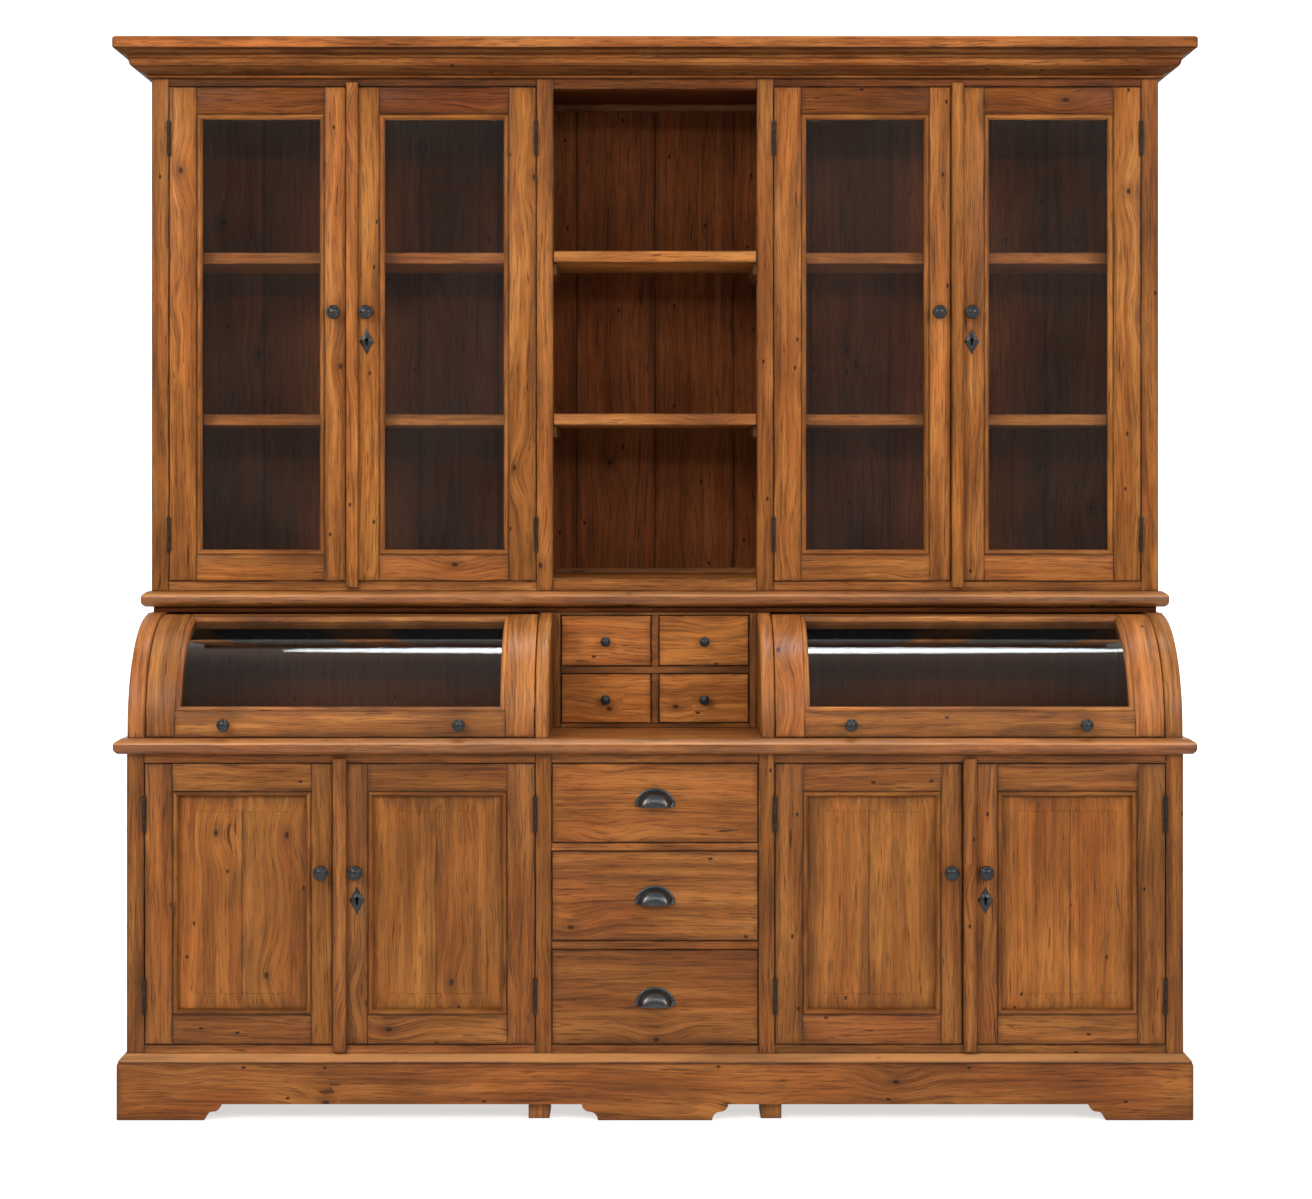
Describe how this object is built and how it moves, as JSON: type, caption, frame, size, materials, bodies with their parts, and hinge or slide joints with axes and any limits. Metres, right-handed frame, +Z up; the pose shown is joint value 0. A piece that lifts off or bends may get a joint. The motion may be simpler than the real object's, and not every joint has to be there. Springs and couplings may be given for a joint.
{
  "type": "dresser with hutch",
  "caption": "Aged wood dresser with hutch: glazed upper doors beside open shelves, curved glass roll-tops over a counter, panelled base doors and drawers on a shaped plinth.",
  "frame": {"origin": "centre of the bounding box in X and Y, on the floor", "axes": "+Z up, the front faces -Y, +X to the viewer's right"},
  "size_m": [2.252, 0.608, 2.2],
  "materials": {
    "aged_wood": "waxed, worn",
    "inner_wood": "dull, dark",
    "dark_iron": "blackened, satin",
    "glass": "clear"
  },
  "bodies": {
    "case": {"base_face_frame": "aged_wood", "base_floor_board": "inner_wood", "base_uprights": "aged_wood", "cornice": "aged_wood", "countertop": "aged_wood", "deck_board": "aged_wood", "feet": "inner_wood", "hinge_leaves_and_pins": "dark_iron", "hutch_back_planks": "inner_wood", "hutch_face_frame": "aged_wood", "hutch_top_boards": "inner_wood", "hutch_uprights": "aged_wood", "lower_back_panels": "inner_wood", "plinth": "aged_wood", "rolltop_end_panels": "aged_wood", "runners_and_cleats": "inner_wood", "shelves": "aged_wood", "small_drawer_case": "aged_wood", "waist_board": "aged_wood"},
    "base_door_left_a": {"base_door_left_a_frame": "aged_wood", "base_door_left_a_hardware": "dark_iron"},
    "base_door_left_b": {"base_door_left_b_frame": "aged_wood", "base_door_left_b_hardware": "dark_iron"},
    "hutch_door_left_a": {"hutch_door_left_a_frame": "aged_wood", "hutch_door_left_a_glass": "glass", "hutch_door_left_a_hardware": "dark_iron"},
    "hutch_door_left_b": {"hutch_door_left_b_frame": "aged_wood", "hutch_door_left_b_glass": "glass", "hutch_door_left_b_hardware": "dark_iron"},
    "rolltop_left": {"rolltop_left_frame": "aged_wood", "rolltop_left_glass": "glass", "rolltop_left_hardware": "dark_iron"},
    "base_door_right_a": {"base_door_right_a_frame": "aged_wood", "base_door_right_a_hardware": "dark_iron"},
    "base_door_right_b": {"base_door_right_b_frame": "aged_wood", "base_door_right_b_hardware": "dark_iron"},
    "hutch_door_right_a": {"hutch_door_right_a_frame": "aged_wood", "hutch_door_right_a_glass": "glass", "hutch_door_right_a_hardware": "dark_iron"},
    "hutch_door_right_b": {"hutch_door_right_b_frame": "aged_wood", "hutch_door_right_b_glass": "glass", "hutch_door_right_b_hardware": "dark_iron"},
    "rolltop_right": {"rolltop_right_frame": "aged_wood", "rolltop_right_glass": "glass", "rolltop_right_hardware": "dark_iron"},
    "large_drawer_1": {"large_drawer_1": "aged_wood", "large_drawer_1_pull": "dark_iron"},
    "large_drawer_2": {"large_drawer_2": "aged_wood", "large_drawer_2_pull": "dark_iron"},
    "large_drawer_3": {"large_drawer_3": "aged_wood", "large_drawer_3_pull": "dark_iron"},
    "small_drawer_upper_left": {"small_drawer_upper_left": "aged_wood", "small_drawer_upper_left_knob": "dark_iron"},
    "small_drawer_upper_right": {"small_drawer_upper_right": "aged_wood", "small_drawer_upper_right_knob": "dark_iron"},
    "small_drawer_lower_left": {"small_drawer_lower_left": "aged_wood", "small_drawer_lower_left_knob": "dark_iron"},
    "small_drawer_lower_right": {"small_drawer_lower_right": "aged_wood", "small_drawer_lower_right_knob": "dark_iron"}
  },
  "joints": [
    {"name": "base_door_left_a_hinge", "type": "hinge", "parent": "case", "child": "base_door_left_a", "pos_m": [-1.02125, -0.28, 0], "axis": [0, 0, -1], "range_deg": [0, 110]},
    {"name": "base_door_left_b_hinge", "type": "hinge", "parent": "case", "child": "base_door_left_b", "pos_m": [-0.23975, -0.28, 0], "axis": [0, 0, 1], "range_deg": [0, 90]},
    {"name": "hutch_door_left_a_hinge", "type": "hinge", "parent": "case", "child": "hutch_door_left_a", "pos_m": [-1.02025, -0.012, 0], "axis": [0, 0, -1], "range_deg": [0, 110]},
    {"name": "hutch_door_left_b_hinge", "type": "hinge", "parent": "case", "child": "hutch_door_left_b", "pos_m": [-0.24925, -0.012, 0], "axis": [0, 0, 1], "range_deg": [0, 110]},
    {"name": "rolltop_left_hinge", "type": "hinge", "parent": "case", "child": "rolltop_left", "pos_m": [0, -0.052, 0.777], "axis": [-1, 0, 0], "range_deg": [0, 70]},
    {"name": "base_door_right_a_hinge", "type": "hinge", "parent": "case", "child": "base_door_right_a", "pos_m": [0.23975, -0.28, 0], "axis": [0, 0, -1], "range_deg": [0, 90]},
    {"name": "base_door_right_b_hinge", "type": "hinge", "parent": "case", "child": "base_door_right_b", "pos_m": [1.02125, -0.28, 0], "axis": [0, 0, 1], "range_deg": [0, 110]},
    {"name": "hutch_door_right_a_hinge", "type": "hinge", "parent": "case", "child": "hutch_door_right_a", "pos_m": [0.24925, -0.012, 0], "axis": [0, 0, -1], "range_deg": [0, 110]},
    {"name": "hutch_door_right_b_hinge", "type": "hinge", "parent": "case", "child": "hutch_door_right_b", "pos_m": [1.02025, -0.012, 0], "axis": [0, 0, 1], "range_deg": [0, 110]},
    {"name": "rolltop_right_hinge", "type": "hinge", "parent": "case", "child": "rolltop_right", "pos_m": [0, -0.052, 0.777], "axis": [-1, 0, 0], "range_deg": [0, 70]},
    {"name": "large_drawer_1_slide", "type": "slide", "parent": "case", "child": "large_drawer_1", "axis": [0, -1, 0], "range_m": [0, 0.36]},
    {"name": "large_drawer_2_slide", "type": "slide", "parent": "case", "child": "large_drawer_2", "axis": [0, -1, 0], "range_m": [0, 0.36]},
    {"name": "large_drawer_3_slide", "type": "slide", "parent": "case", "child": "large_drawer_3", "axis": [0, -1, 0], "range_m": [0, 0.36]},
    {"name": "small_drawer_upper_left_slide", "type": "slide", "parent": "case", "child": "small_drawer_upper_left", "axis": [0, -1, 0], "range_m": [0, 0.18]},
    {"name": "small_drawer_upper_right_slide", "type": "slide", "parent": "case", "child": "small_drawer_upper_right", "axis": [0, -1, 0], "range_m": [0, 0.18]},
    {"name": "small_drawer_lower_left_slide", "type": "slide", "parent": "case", "child": "small_drawer_lower_left", "axis": [0, -1, 0], "range_m": [0, 0.18]},
    {"name": "small_drawer_lower_right_slide", "type": "slide", "parent": "case", "child": "small_drawer_lower_right", "axis": [0, -1, 0], "range_m": [0, 0.18]}
  ]
}
